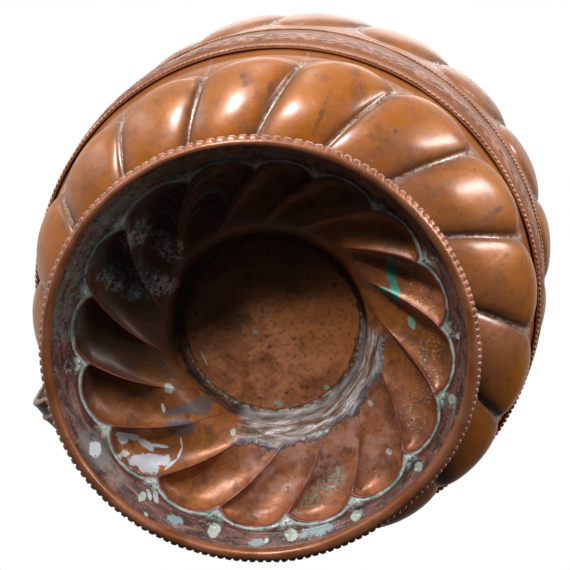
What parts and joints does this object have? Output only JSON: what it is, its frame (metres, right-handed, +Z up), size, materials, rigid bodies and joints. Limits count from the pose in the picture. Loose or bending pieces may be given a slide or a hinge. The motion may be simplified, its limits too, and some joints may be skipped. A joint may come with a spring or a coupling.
{
  "type": "copper jug",
  "caption": "Footed copper jug with slanting gadroons on foot and body, a belly band, a flared mouth with pouring lip and a ribbed strap handle.",
  "frame": {"origin": "on the standing plane, midway between the handle's outermost face and the front of the body; the jug's own axis stands 24.0 mm from it towards +X", "axes": "+Z up along the jug's axis, +X towards the pouring lip, handle towards -X"},
  "size_m": [0.298, 0.2516, 0.3323],
  "materials": {
    "body_copper": "polished, worn",
    "band_copper": "punched, dull",
    "rim_copper": "rubbed bright",
    "handle_copper": "dark, handled",
    "foot_copper": "dark patina",
    "solder": "dull grey"
  },
  "bodies": {
    "root": {"foot": "foot_copper", "foot_hoop": "rim_copper", "foot_solder_ring": "solder", "lower_bowl": "body_copper", "upper_bowl": "body_copper", "belly_band": "band_copper", "seam_solder_ring": "solder", "neck_collar": "rim_copper", "neck": "body_copper", "mouth_rim": "rim_copper", "handle_strap": "handle_copper", "band_rivet_1": "rim_copper", "band_rivet_2": "rim_copper", "neck_rivet_1": "rim_copper", "neck_rivet_2": "rim_copper"}
  },
  "joints": []
}
